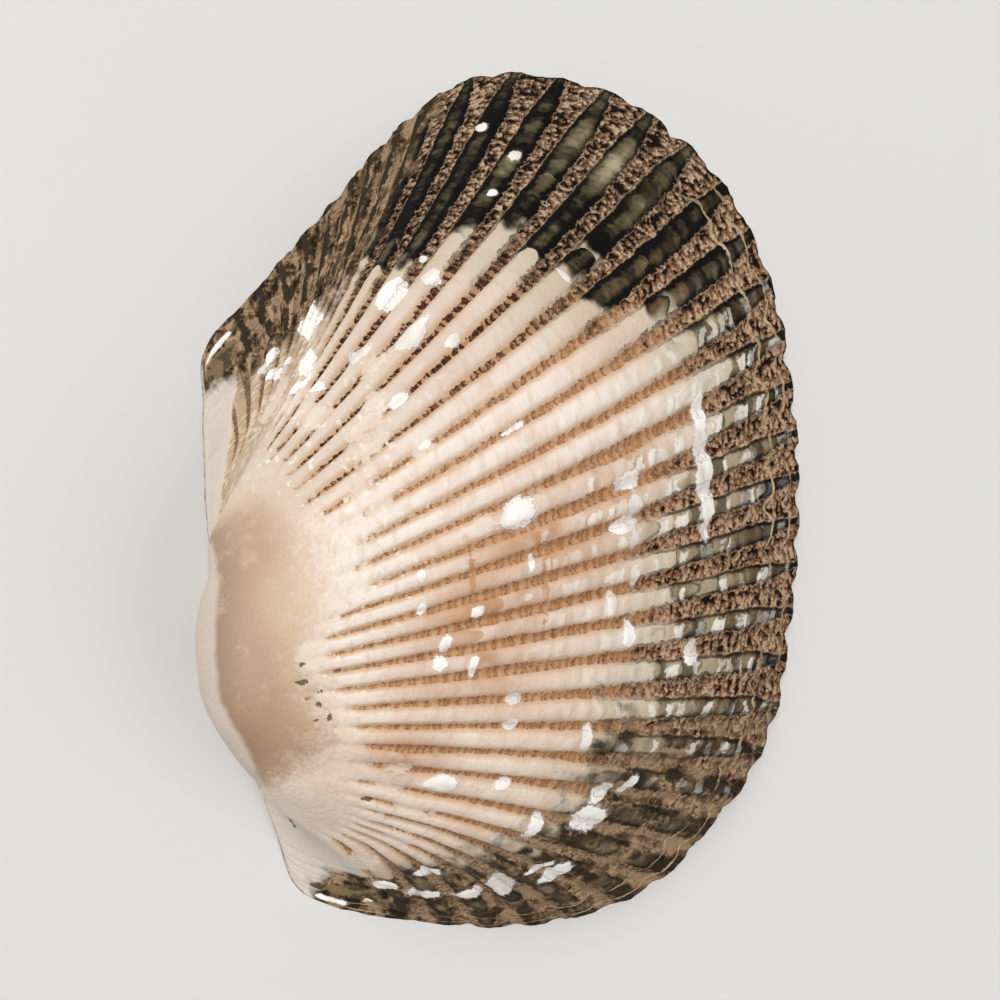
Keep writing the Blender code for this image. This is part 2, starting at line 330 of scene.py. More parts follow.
    pits: Spots = (
        (62.0, 0.360, 0.6, 0.005, 0), (64.0, 0.402, 0.5, 0.006, 0), (64.9, 0.360, 0.7, 0.012, 15),
        (66.8, 0.381, 0.5, 0.005, 0), (68.8, 0.379, 0.8, 0.006, 0), (70.8, 0.393, 0.9, 0.006, 0),
        (71.2, 0.378, 0.5, 0.004, 0), (67.7, 0.366, 0.6, 0.005, 0), (83.6, 0.485, 0.5, 0.012, 0),
        (4.4, 0.838, 1.7, 0.007, -90), (102.2, 0.600, 0.45, 0.060, 14),
    )
    stains: Spots = (
        (55.5, 0.64, 6.0, 0.12, 0), (61.0, 0.58, 7.5, 0.16, 0), (66.0, 0.56, 7.0, 0.14, 0),
        (52.5, 0.74, 4.0, 0.08, 0), (76.0, 0.50, 5.0, 0.08, 0),
    )
    stain_rows: Spots = ((60.0, 0.642, 4.5, 0.006, 0), (57.0, 0.557, 4.5, 0.005, 0))
    pale: Spots = (
        (31.5, 0.905, 2.6, 0.060, 0), (34.8, 0.915, 2.2, 0.055, 0), (28.0, 0.860, 1.5, 0.025, 0),
        (38.2, 0.900, 1.8, 0.050, 0), (41.2, 0.880, 1.8, 0.060, 0), (45.0, 0.870, 4.0, 0.080, 0),
        (50.5, 0.880, 5.0, 0.070, 0), (56.5, 0.850, 5.0, 0.080, 0), (62.5, 0.830, 5.0, 0.080, 0),
        (68.5, 0.830, 5.0, 0.080, 0), (74.0, 0.820, 4.5, 0.060, 0),
    )
    olive: Spots = ((1.9, 0.890, 2.0, 0.045, 0), (101.4, 0.900, 2.0, 0.040, 25))
    # How pale the skinned ribs are: behind, added in front, and added in the pale spots
    pale_behind: float = 0.10
    pale_front: float = 0.34
    pale_front_reach: Reach = (42.0, 52.0)
    pale_margin: Reach = (0.925, 0.965)
    pale_margin_loss: float = 0.8
    pale_spot_gain: float = 1.6
    pale_spot: float = 0.48
    pale_spot_loss: float = 0.4
    # Half width of the bands between the ribs, as a share of their spacing, and what widens it
    band_bare: float = 0.066
    band_older: float = 0.045
    band_older_stages: Reach = (0.5, 0.72)
    band_behind: float = 0.030
    band_behind_reach: Reach = (24.0, 34.0)
    band_stained: float = 0.13
    band_skinned: float = 0.185
    band_skin_rise: Reach = (-1.6, 0.6)
    band_front: float = 0.045
    band_front_reach: tuple[float, float, float, float] = (46.0, 52.0, 74.0, 80.0)
    band_flares: tuple[tuple[float, float, float], ...] = ((0.17, 0.93, 1.0), (0.03, 0.8, 0.93))

    @staticmethod
    def between(reach: tuple[float, float, float, float], distance: np.ndarray) -> np.ndarray:
        """Return 1 on the middle of a reach along the margin, graded at its two ends."""
        start, full, fading, end = reach
        return smoothstep(start, full, distance) * (1.0 - smoothstep(fading, end, distance))

    def spots(self, spots: Spots, distance: np.ndarray, stage: np.ndarray) -> np.ndarray:
        """Return a field that is 1 in the middle of a spot, 0 on its edge and -1 away from all.

        Args:
            spots: Place, stage, half width, half height and lean of each spot.
            distance: Distance along the margin of each point.
            stage: Growth stage of each point.

        Returns:
            The field at each point.
        """
        field = np.full(stage.shape, -1.0)
        for place, height, half_width, half_height, lean in spots:
            across = (distance - place - lean * (stage - height)) / half_width
            field = np.maximum(field, 1.0 - np.hypot(across, (stage - height) / half_height))
        return field

    def beaded(self, distance: np.ndarray, stage: np.ndarray) -> np.ndarray:
        """Return where the ribs are beaded: the middle of the ventral side, towards the margin."""
        return self.between(self.bead_reach, distance) * smoothstep(*self.bead_stages, stage)

    def paleness(self, distance: np.ndarray, stage: np.ndarray) -> np.ndarray:
        """Return how pale the skinned ribs are: near black behind, grey and olive in front."""
        front = smoothstep(*self.pale_front_reach, distance)
        darker = 1.0 - smoothstep(*self.pale_margin, stage) * self.pale_margin_loss
        spots = np.clip(self.spots(self.pale, distance, stage) * self.pale_spot_gain, 0.0, 1.0)
        base = self.pale_behind + self.pale_front * front * darker
        return base + self.pale_spot * spots * (1.0 - self.pale_spot_loss * front)

    def band(self, distance: np.ndarray, stage: np.ndarray) -> np.ndarray:
        """Return the half width of the brown bands between the ribs, as a share of the rib spacing."""
        skin = smoothstep(*self.band_skin_rise, self.skin_line.past(distance, stage))
        behind = 1.0 - smoothstep(*self.band_behind_reach, distance)
        stain = np.clip(self.spots(self.stains, distance, stage), 0.0, 1.0)
        worn = self.band_bare + self.band_older * smoothstep(*self.band_older_stages, stage)
        worn = worn + self.band_behind * behind + self.band_stained * stain
        skinned = self.band_skinned + self.band_front * self.between(self.band_front_reach, distance)
        for width, low, high in self.band_flares:
            skinned = skinned + width * smoothstep(low, high, stage)
        return worn + (skinned - worn) * skin


@dataclass
class Valve:
    """The left valve: its grown surface, rim, hinge plate and hollow."""

    margin: MarginLine
    ribs: Ribs
    wear: WearMap
    curl: float = 1.05
    handover: float = 0.27
    stage_step: float = 0.005
    umbo_overhang: float = 1.9
    umbo_middle: float = 1.7
    umbo_half_width: float = 6.1
    umbo_bulge: float = 1.7
    dorsal_softness: float = 0.25
    beak_tip: Place = (0.35, 2.4, 2.2)
    ear_blend: float = 9.0
    ear_limit: float = 2.0
    # Rim, hinge plate, and the wall between the outside and the hollow
    rim_width: float = 1.6
    hinge_plate_width: float = 3.0
    hinge_plate_blend: float = 5.0
    wall_at_margin: float = 1.15
    wall_inside: float = 1.8
    wall_blend: float = 8.0
    steepest_wall: float = 0.4
    inner_step: Reach = (-1.0, 4.0)
    hollow_middle: tuple[float, float] = (13.0, 7.0)
    ray_start: float = 0.01
    # Hinge teeth, and where they grade in along the hinge and across its plate
    teeth: int = 38
    tooth_depth: float = 0.45
    tooth_ends: Reach = (0.02, 0.07)
    tooth_outer: Reach = (0.2, 0.45)
    tooth_inner: Reach = (-0.05, 0.15)
    # Waves of the rim's inner edge, one for each rib
    crenulation: float = 0.16
    crenulation_rows: float = 3.0
    crenulation_blend: float = 6.0
    flat_rim: float = 0.02
    bead_height: float = 0.10
    chip_height: float = 0.06
    pit_depth: float = 0.09
    # Values of the wear fields between which the skin, veils, chips and pits change the relief
    skin_rise: Reach = (-0.6, 0.6)
    veil_rise: Reach = (0.0, 0.5)
    chip_rise: Reach = (0.0, 0.35)
    pit_rise: Reach = (0.0, 0.6)
    # Shares of a groove's depth that the skin, a veil and the nearness of the margin fill
    skin_fill: float = 0.35
    veil_fill: float = 0.6
    margin_fill: float = 0.4
    margin_reach: Reach = (0.94, 1.0)
    ledge_rise: Reach = (-0.004, 0.002)
    ledge_fall: Reach = (0.002, 0.03)
    ledge_in_grooves: float = 0.3
    notch_reach: Reach = (0.975, 1.0)
    soft_size: float = 2.2
    soft_height: float = 0.05
    crumb_size: float = 0.40
    crumb_height: float = 0.10
    # Size in millimetres and share of each cloud layer, and the size of the haze
    cloud_layers: Points = ((1.1, 0.5), (0.6, 0.3))
    haze_size: float = 4.5
    lowest_outside: float = 0.02
    # Growth halts: the stage of each and the depth of its step
    growth_steps: Points = (
        (0.985, 0.06), (0.957, 0.08), (0.93, 0.06), (0.882, 0.05), (0.855, 0.06), (0.82, 0.05),
        (0.765, 0.04), (0.62, 0.03),
    )
    # Notches in the margin: place, half width and depth in millimetres
    notches: tuple[tuple[float, float, float], ...] = ((35.6, 0.45, 0.30),)
    # Columns and rows of the mesh
    posterior_ear_columns: int = 8
    anterior_ear_columns: int = 16
    growth_rows: int = 148
    beak_rows: int = 16
    rim_rows: int = 6
    inner_rows: int = 20
    inner_smoothing: int = 30

    def columns(self) -> np.ndarray:
        """Return each mesh column's distance along the margin, from the hinge's middle round to it."""
        half_hinge = (self.margin.length - self.margin.hinge_start) / 2
        hinge_step = half_hinge / (self.teeth * 2)
        behind = np.arange(-half_hinge, -hinge_step / 2, hinge_step)
        grooves = self.ribs.grooves()
        posterior = np.linspace(0.0, grooves[0], self.posterior_ear_columns, endpoint=False)
        spans = np.diff(grooves)[:, None] * np.array(self.ribs.columns)
        ribbed = (grooves[:-1, None] + spans).ravel()
        hinge = self.margin.hinge_start
        anterior = np.linspace(grooves[-1], hinge, self.anterior_ear_columns, endpoint=False)
        ahead = hinge + np.arange(0.0, half_hinge - hinge_step / 2, hinge_step)
        return np.concatenate([behind, posterior, ribbed, anterior, ahead])[::-1]

    def grown(self, edge: np.ndarray, stage: np.ndarray) -> np.ndarray:
        """Return where places on the margin lay at earlier growth stages.

        Args:
            edge: Places on the margin, with a last axis of x and y.
            stage: Growth stages, of a shape that fits the places.

        Returns:
            Points with a last axis of x, y and z.
        """
        turn = self.curl * np.log(1.0 / stage)
        reach = edge[..., 0] * stage
        return np.stack([reach * np.cos(turn), edge[..., 1] * stage, reach * np.sin(turn)], axis=-1)

    def worn_face(self, edge: np.ndarray, share: np.ndarray) -> np.ndarray:
        """Return points on the worn dorsal face, from the end of the growth rule to the beak's tip."""
        tip = np.array(self.beak_tip)
        start = self.grown(edge, np.full(edge.shape[:-1], self.handover))
        leaving = start - self.grown(edge, np.full(edge.shape[:-1], self.handover + self.stage_step))
        leaving /= np.linalg.norm(leaving, axis=-1, keepdims=True)
        arriving = (tip - start) * np.array([0.0, 1.0, 1.0])
        arriving /= np.linalg.norm(arriving, axis=-1, keepdims=True)
        reach = np.linalg.norm(tip - start, axis=-1, keepdims=True)
        share = share[..., None]
        rest = 1.0 - share
        first = start * (1.0 + 2.0 * share) + leaving * self.umbo_bulge * reach * share
        last = tip * (3.0 - 2.0 * share) - arriving * reach * rest
        return first * rest ** 2 + last * share ** 2

    def dorsal_limit(self, y: np.ndarray) -> np.ndarray:
        """Return how far dorsally the valve reaches at some places along the hinge."""
        across = np.clip((y - self.umbo_middle) / self.umbo_half_width, -1.0, 1.0)
        return self.margin.hinge_line(y) - self.umbo_overhang * np.cos(across * math.pi / 2)

    def outer_grid(self, distance: np.ndarray) -> tuple[np.ndarray, np.ndarray]:
        """Return the smooth outer surface and its growth stages, by column and row from the margin.

        Args:
            distance: Each column's distance along the margin.

        Returns:
            Points by column and row, and the stage of each row.
        """
        growth = np.linspace(1.0, self.handover, self.growth_rows + 1)
        share = np.arange(1, self.beak_rows + 1) / (self.beak_rows + 1)
        stage = np.concatenate([growth, self.handover * (1.0 - share)])
        edge = self.margin.point(distance)[:, None, :]
        shape = (len(distance), len(growth))
        ribbed = self.grown(np.broadcast_to(edge, shape + (2,)), np.broadcast_to(growth, shape))
        shape = (len(distance), len(share))
        worn = self.worn_face(np.broadcast_to(edge, shape + (2,)), np.broadcast_to(share, shape))
        surface = np.concatenate([ribbed, worn], axis=1)
        tip = np.array(self.beak_tip)
        flat_edge = np.concatenate([edge, np.zeros_like(edge[..., :1])], axis=-1)
        straight = tip + (flat_edge - tip) * stage[None, :, None]
        on_ribs = smoothstep(0.0, self.ear_blend, self.margin.past_corner(distance))[:, None, None]
        surface = straight + (surface - straight) * on_ribs
        limit = self.dorsal_limit(surface[:, 1:, 1])
        over = (surface[:, 1:, 0] - limit) / self.dorsal_softness
        surface[:, 1:, 0] = limit + self.dorsal_softness * np.logaddexp(0.0, over)
        return surface, stage

    def rim_edge(self, distance: np.ndarray) -> np.ndarray:
        """Return the inner edge of the rim and hinge plate at some distances along the margin."""
        edge = self.margin.point(distance)
        way = np.array(self.hollow_middle) - edge
        way /= np.linalg.norm(way, axis=-1, keepdims=True)
        on_ribs = smoothstep(0.0, self.hinge_plate_blend, self.margin.past_corner(distance))
        width = self.hinge_plate_width + (self.rim_width - self.hinge_plate_width) * on_ribs
        facing = np.sum(way * self.margin.inward(distance), axis=-1)
        reach = width / np.maximum(facing, self.steepest_wall)
        for _ in range(self.inner_smoothing):
            reach = (reach * 2.0 + np.roll(reach, 1) + np.roll(reach, -1)) / 4
        return edge + way * reach[:, None]

    def inner_grid(self, distance: np.ndarray, roof: BVHTree) -> np.ndarray:
        """Return the rim and the hollow, by column and row from the margin inwards.

        Args:
            distance: Each column's distance along the margin.
            roof: The smooth outer surface.

        Returns:
            Points by column and row, the last row being the middle of the hollow.
        """
        edge = self.margin.point(distance)
        rim = self.rim_edge(distance)
        across = np.arange(1, self.rim_rows + 1) / self.rim_rows
        flat = edge[:, None, :] + (rim - edge)[:, None, :] * across[None, :, None]
        share = np.arange(1, self.inner_rows + 1) / self.inner_rows
        middle = np.array(self.hollow_middle)
        inner = rim[:, None, :] + (middle - rim)[:, None, :] * share[None, :, None]
        height = np.zeros(inner.shape[:2])
        for column, row in np.ndindex(*height.shape):
            height[column, row] = self.ceiling(roof, rim[column], inner[column, row])
        height = self.smoothed(height)
        plan = np.concatenate([flat, inner], axis=1)
        level = np.concatenate([self.rim_relief(distance, across), height], axis=1)
        on_ribs = smoothstep(0.0, self.crenulation_blend, self.margin.past_corner(distance))
        waves = np.cos(self.ribs.place(distance) * math.tau) * on_ribs
        past_rim = np.arange(plan.shape[1]) - self.rim_rows
        fade = np.exp(-(past_rim / self.crenulation_rows) ** 2)
        crenulated = self.crenulation * waves[:, None] * fade[None, :]
        level = np.maximum(level + crenulated * (level > self.flat_rim), 0.0)
        return np.concatenate([plan, level[..., None]], axis=-1)

    def ceiling(self, roof: BVHTree, rim: np.ndarray, place: np.ndarray) -> float:
        """Return the height of the hollow at a place, one wall thickness under the outer surface."""
        below = Vector((place[0], place[1], self.ray_start))
        hit, normal, _, _ = roof.ray_cast(below, Vector((0.0, 0.0, 1.0)))
        inside = np.linalg.norm(place - rim)
        thicker = (self.wall_inside - self.wall_at_margin) * smoothstep(0.0, self.wall_blend, inside)
        wall = self.wall_at_margin + thicker
        height = max(hit.z - wall / max(abs(normal.z), self.steepest_wall), 0.0)
        return float(height * smoothstep(*self.inner_step, inside))

    def smoothed(self, height: np.ndarray) -> np.ndarray:
        """Return the hollow's heights evened out between neighbouring columns and rows."""
        for _ in range(self.inner_smoothing):
            beside = (np.roll(height, 1, axis=0) + np.roll(height, -1, axis=0)) / 2
            height = (height + beside) / 2
            height[:, 1:-1] = height[:, 1:-1] / 2 + (height[:, :-2] + height[:, 2:]) / 4
            height[:, -1] = height[:, -2].mean()
        return height

    def rim_relief(self, distance: np.ndarray, across: np.ndarray) -> np.ndarray:
        """Return the height of the rim's underside: flat, but for the teeth cut in the hinge plate."""
        behind = np.where(distance < 0.0, distance + self.margin.length, distance)
        along = (behind - self.margin.hinge_start) / (self.margin.length - self.margin.hinge_start)
        on_hinge = smoothstep(*self.tooth_ends, along) * smoothstep(*self.tooth_ends, 1.0 - along)
        cut = 0.5 - 0.5 * np.cos(along * self.teeth * math.tau)
        band = smoothstep(*self.tooth_outer, across) * smoothstep(*self.tooth_inner, 1.0 - across)
        return self.tooth_depth * (on_hinge * cut)[:, None] * band[None, :]

    def relief(self, places: np.ndarray, stages: np.ndarray, surface: np.ndarray) -> np.ndarray:
        """Return how far the worn surface stands out from the smooth one, in millimetres.

        Args:
            places: Distance along the margin, by column and row.
            stages: Growth stage, by column and row.
            surface: Smooth outer surface, by column and row.

        Returns:
            Heights by column and row, below 0 in the grooves.
        """
        wear = self.wear
        rib = self.ribs.place(self.ribs.grown_to(places, stages))
        ribbed = self.ribbed(places, stages, surface)
        skin = smoothstep(*self.skin_rise, wear.skin_line.past(places, stages))
        veil = smoothstep(*self.veil_rise, wear.spots(wear.veils, places, stages))
        chip = smoothstep(*self.chip_rise, wear.spots(wear.chips, places, stages))
        pit = smoothstep(*self.pit_rise, wear.spots(wear.pits, places, stages))
        by_margin = smoothstep(*self.margin_reach, stages)
        depth = self.ribs.depth * stages ** self.ribs.depth_growth
        for share, fill in ((self.skin_fill, skin), (self.veil_fill, veil), (self.margin_fill, by_margin)):
            depth = depth * (1.0 - share * fill)
        crest = 1.0 - self.ribs.hollow(rib)
        height = -depth * ribbed * (1.0 - crest)
        wave = np.clip(np.sin(stages * math.tau / wear.bead_pitch), 0.0, 1.0)
        height = height + self.bead_height * wave * wear.beaded(places, stages) * crest * ribbed
        for rest, step in self.growth_steps:
            past = stages - rest
            ledge = smoothstep(*self.ledge_rise, past) * (1.0 - smoothstep(*self.ledge_fall, past))
            ledge = ledge * (self.ledge_in_grooves + (1.0 - self.ledge_in_grooves) * crest)
            height = height - step * ledge
        height = height + self.chip_height * chip - self.pit_depth * pit
        for place, half_width, dent in self.notches:
            dented = np.exp(-((places - place) / half_width) ** 2)
            height = height - dent * dented * smoothstep(*self.notch_reach, stages)
        return height + self.roughness_relief(surface, skin)

    def ribbed(self, distance: np.ndarray, stage: np.ndarray, surface: np.ndarray) -> np.ndarray:
        """Return how far the ribs stand out: not on the ears, on the umbo or along the dorsal edge."""
        from_hinge = surface[..., 0] - self.dorsal_limit(surface[..., 1])
        edge = self.margin.point(distance[:, 0])
        ribbed = smoothstep(*self.ribs.fade_in, stage - self.wear.groove_line.stage(distance))
        ribbed = ribbed * smoothstep(0.0, self.ribs.low_reach, edge[:, 0])[:, None]
        ribbed = ribbed * smoothstep(self.ribs.plain_strip, self.ribs.full_from_hinge, from_hinge)
        return ribbed * smoothstep(0.0, 1.0, -self.ear(distance))

    def ear(self, distance: np.ndarray) -> np.ndarray:
        """Return a field that is above 0 on the plain ears and below 0 on the ribbed part."""
        grooves = self.ribs.grooves()
        behind = (grooves[0] - distance) / self.ribs.zones[0][1]
        ahead = (distance - grooves[-1]) / self.ribs.zones[-1][1]
        return np.clip(np.maximum(behind, ahead), -self.ear_limit, self.ear_limit)

    def roughness_relief(self, surface: np.ndarray, skin: np.ndarray) -> np.ndarray:
        """Return small uneven heights: low and soft on the bare shell, crumbly on its skin."""
        soft = self.clouds(surface, self.soft_size)
        crumbs = self.clouds(surface, self.crumb_size)
        return self.soft_height * soft + self.crumb_height * skin * crumbs

    @staticmethod
    def clouds(surface: np.ndarray, size: float) -> np.ndarray:
        """Return even noise from -1 to 1 over the surface, of a feature size in millimetres."""
        flat = surface.reshape(-1, 3) / size
        return np.array([noise.noise(Vector(point)) for point in flat]).reshape(surface.shape[:2])

    def marks(self, places: np.ndarray, stages: np.ndarray, surface: np.ndarray) -> dict[str, np.ndarray]:
        """Return the fields that the finishes read, by column and outer row.

        Args:
            places: Distance along the margin, by column and row.
            stages: Growth stage, by column and row.
            surface: Smooth outer surface, by column and row.

        Returns:
            Named fields by column and row.
        """
        wear = self.wear
        layers = [self.clouds(surface, size) * share for size, share in self.cloud_layers]
        return {
            "rib": self.ribs.place(self.ribs.grown_to(places, stages)),
            "stage": stages,
            "skin": wear.skin_line.past(places, stages),
            "grooved": wear.groove_line.past(places, stages),
            "umbo": wear.umbo_line.past(places, stages),
            "crescent": wear.crescent_line.past(places, stages),
            "chip": wear.spots(wear.chips, places, stages),
            "veil": wear.spots(wear.veils, places, stages),
            "pit": wear.spots(wear.pits, places, stages),
            "olive": wear.spots(wear.olive, places, stages),
            "stain": np.clip(wear.spots(wear.stains, places, stages), 0.0, 1.0),
            "stain_row": wear.spots(wear.stain_rows, places, stages),
            "pale": wear.paleness(places, stages),
            "band": wear.band(places, stages),
            "beaded": wear.beaded(places, stages),
            "ear": self.ear(places),
            "posterior": 1.0 - smoothstep(*wear.posterior_reach, places),
            "dusky": 1.0 - smoothstep(*wear.dusky_reach, places),
            "anterior": smoothstep(*wear.anterior_reach, places),
            "cloud": np.sum(layers, axis=0),
            "haze": self.clouds(surface, self.haze_size),
        }

    def build(self) -> bpy.types.Object:
        """Grow the valve from a sphere: its upper half becomes the outside, its lower half the inside."""
        distance = self.columns()
        surface, stage = self.outer_grid(distance)
        outer_rows = surface.shape[1]
        row_count = outer_rows + self.rim_rows + self.inner_rows
        places = np.broadcast_to(distance[:, None], surface.shape[:2])
        stages = np.broadcast_to(stage[None, :], surface.shape[:2])
        piece = self.add_sphere(len(distance), row_count)
        mesh = piece.data
        column, row = self.lattice(mesh, len(distance), row_count)
        plan = self.smooth_plan(surface, row_count)
        self.set_points(mesh, plan[column, row])
        roof = self.tree(mesh)
        outward = np.zeros_like(plan)
        outward[column, row] = self.normals(mesh)
        outward[:, outer_rows, :2] = -self.margin.inward(distance)
        outward[:, outer_rows, 2] = 0.0
        height = self.relief(places, stages, surface)[:, ::-1]
        plan[:, 1:outer_rows + 1] += outward[:, 1:outer_rows + 1] * height[..., None]
        plan[:, 1:outer_rows, 2] = np.maximum(plan[:, 1:outer_rows, 2], self.lowest_outside)
        plan[:, outer_rows + 1:] = self.inner_grid(distance, roof)[:, :row_count - outer_rows]
        follow = 1.0 - np.arange(1, self.rim_rows) / self.rim_rows
        shift = outward[:, outer_rows] * height[:, -1:]
        plan[:, outer_rows + 1:outer_rows + self.rim_rows] += shift[:, None] * follow[None, :, None]
        self.set_points(mesh, self.centred(plan)[column, row] * MM)
        self.set_marks(mesh, self.marks(places, stages, surface), column, row, outer_rows, row_count)
        self.set_sides(mesh, row, outer_rows)
        mesh.shade_smooth()
        return piece

    @staticmethod
    def add_sphere(column_count: int, row_count: int) -> bpy.types.Object:
        """Add the sphere that becomes the valve."""
        bpy.ops.object.select_all(action='DESELECT')
        bpy.ops.mesh.primitive_uv_sphere_add(segments=column_count, ring_count=row_count, radius=1.0)
        piece = bpy.context.object
        piece.name = "valve_shell"
        piece.data.name = "valve_shell"
        return piece

    def smooth_plan(self, surface: np.ndarray, row_count: int) -> np.ndarray:
        """Return the smooth valve with a flat underside.

        Args:
            surface: Smooth outer surface, by column and row from the margin.
            row_count: How many rows the whole valve has.

        Returns:
            Points by column and row, from the beak's tip to the middle of the underside.
        """
        outer_rows = surface.shape[1]
        plan = np.zeros((len(surface), row_count + 1, 3))
        plan[:, 0] = self.beak_tip
        plan[:, 1:outer_rows + 1] = surface[:, ::-1]
        margin_row = plan[:, outer_rows, None]
        to_middle = np.array([*self.hollow_middle, 0.0]) - margin_row
        inwards = np.linspace(0.0, 1.0, row_count - outer_rows + 1)[1:]
        plan[:, outer_rows + 1:] = margin_row + to_middle * inwards[None, :, None]
        return plan

    @staticmethod
    def normals(mesh: bpy.types.Mesh) -> np.ndarray:
        """Return the outward direction at each vertex, one row each."""
        directions = np.zeros(len(mesh.vertices) * 3)
        mesh.vertex_normals.foreach_get("vector", directions)
        return directions.reshape(-1, 3)

    @staticmethod
    def lattice(mesh: bpy.types.Mesh, column_count: int, row_count: int) -> tuple[np.ndarray, np.ndarray]:
        """Return the column and the row of each vertex of a sphere."""
        points = np.zeros(len(mesh.vertices) * 3)
        mesh.vertices.foreach_get("co", points)
        points = points.reshape(-1, 3)
        row = np.rint(np.arccos(np.clip(points[:, 2], -1.0, 1.0)) / math.pi * row_count).astype(int)
        turn = np.arctan2(points[:, 1], points[:, 0]) / math.tau
        order = np.lexsort((turn % 1.0, row))
        order = order[(row[order] > 0) & (row[order] < row_count)]
        column = np.zeros(len(points), dtype=int)
        column[order] = np.tile(np.arange(column_count), row_count - 1)
        return column, row

    @staticmethod
    def set_points(mesh: bpy.types.Mesh, points: np.ndarray) -> None:
        """Move the mesh's vertices to new points."""
        mesh.vertices.foreach_set("co", points.ravel())
        mesh.update()

    @staticmethod
    def tree(mesh: bpy.types.Mesh) -> BVHTree:
        """Return a search tree over the mesh's faces."""
        points = [vertex.co.copy() for vertex in mesh.vertices]
        faces = [tuple(polygon.vertices) for polygon in mesh.polygons]
        return BVHTree.FromPolygons(points, faces)

    @staticmethod
    def centred(plan: np.ndarray) -> np.ndarray:
        """Return the points moved so that their box has its middle over the origin."""
        low, high = plan.min(axis=(0, 1)), plan.max(axis=(0, 1))
        return plan - np.array([(low[0] + high[0]) / 2, (low[1] + high[1]) / 2, 0.0])

    @staticmethod
    def set_marks(mesh: bpy.types.Mesh, marks: dict[str, np.ndarray], column: np.ndarray, row: np.ndarray,
                  outer_rows: int, row_count: int) -> None:
        """Store the fields that the finishes read on the mesh.

        Args:
            mesh: The valve's mesh.
            marks: Named fields by column and outer row, from the margin.
            column: Each vertex's column.
            row: Each vertex's row.
            outer_rows: How many rows the outside has.
            row_count: How many rows the whole valve has.
        """
        for name, field in marks.items():
            full = np.zeros((len(field), row_count + 1))
            full[:, 1:outer_rows + 1] = field[:, ::-1]
            full[:, 0] = field[:, -1]
            full[:, outer_rows + 1:] = field[:, :1]
            layer = mesh.attributes.new(name, 'FLOAT', 'POINT')
            layer.data.foreach_set("value", full[column, row])
        inset = np.clip((row - outer_rows) / (row_count - outer_rows), 0.0, 1.0)
        layer = mesh.attributes.new("inset", 'FLOAT', 'POINT')
        layer.data.foreach_set("value", inset)

    @staticmethod
    def set_sides(mesh: bpy.types.Mesh, row: np.ndarray, outer_rows: int) -> None:
        """Give the rim and the hollow the inside finish, and the rest the outside one."""
        corner_rows = np.zeros(len(mesh.loops), dtype=int)
        mesh.loops.foreach_get("vertex_index", corner_rows)
        starts = np.zeros(len(mesh.polygons), dtype=int)
        mesh.polygons.foreach_get("loop_start", starts)
        lowest = np.maximum.reduceat(row[corner_rows], starts)
        side = np.where(lowest > outer_rows, Side.INSIDE.value, Side.OUTSIDE.value)
        mesh.polygons.foreach_set("material_index", side)


class Signal:
    """A number on a shader socket. An expression on signals adds its Math nodes."""

    def __init__(self, sheet: "ShaderSheet", socket: bpy.types.NodeSocket) -> None:
        """Keep the sheet and the socket."""
        self.sheet = sheet
        self.socket = socket

    def __add__(self, other: "Signal | float") -> "Signal":
        """Return the sum."""
        return self.sheet.math('ADD', self, other)

    __radd__ = __add__

    def __sub__(self, other: "Signal | float") -> "Signal":
        """Return the difference."""
        return self.sheet.math('SUBTRACT', self, other)

    def __rsub__(self, other: float) -> "Signal":
        """Return the difference from a number."""
        return self.sheet.math('SUBTRACT', other, self)

    def __mul__(self, other: "Signal | float") -> "Signal":
        """Return the product."""
        return self.sheet.math('MULTIPLY', self, other)

    __rmul__ = __mul__


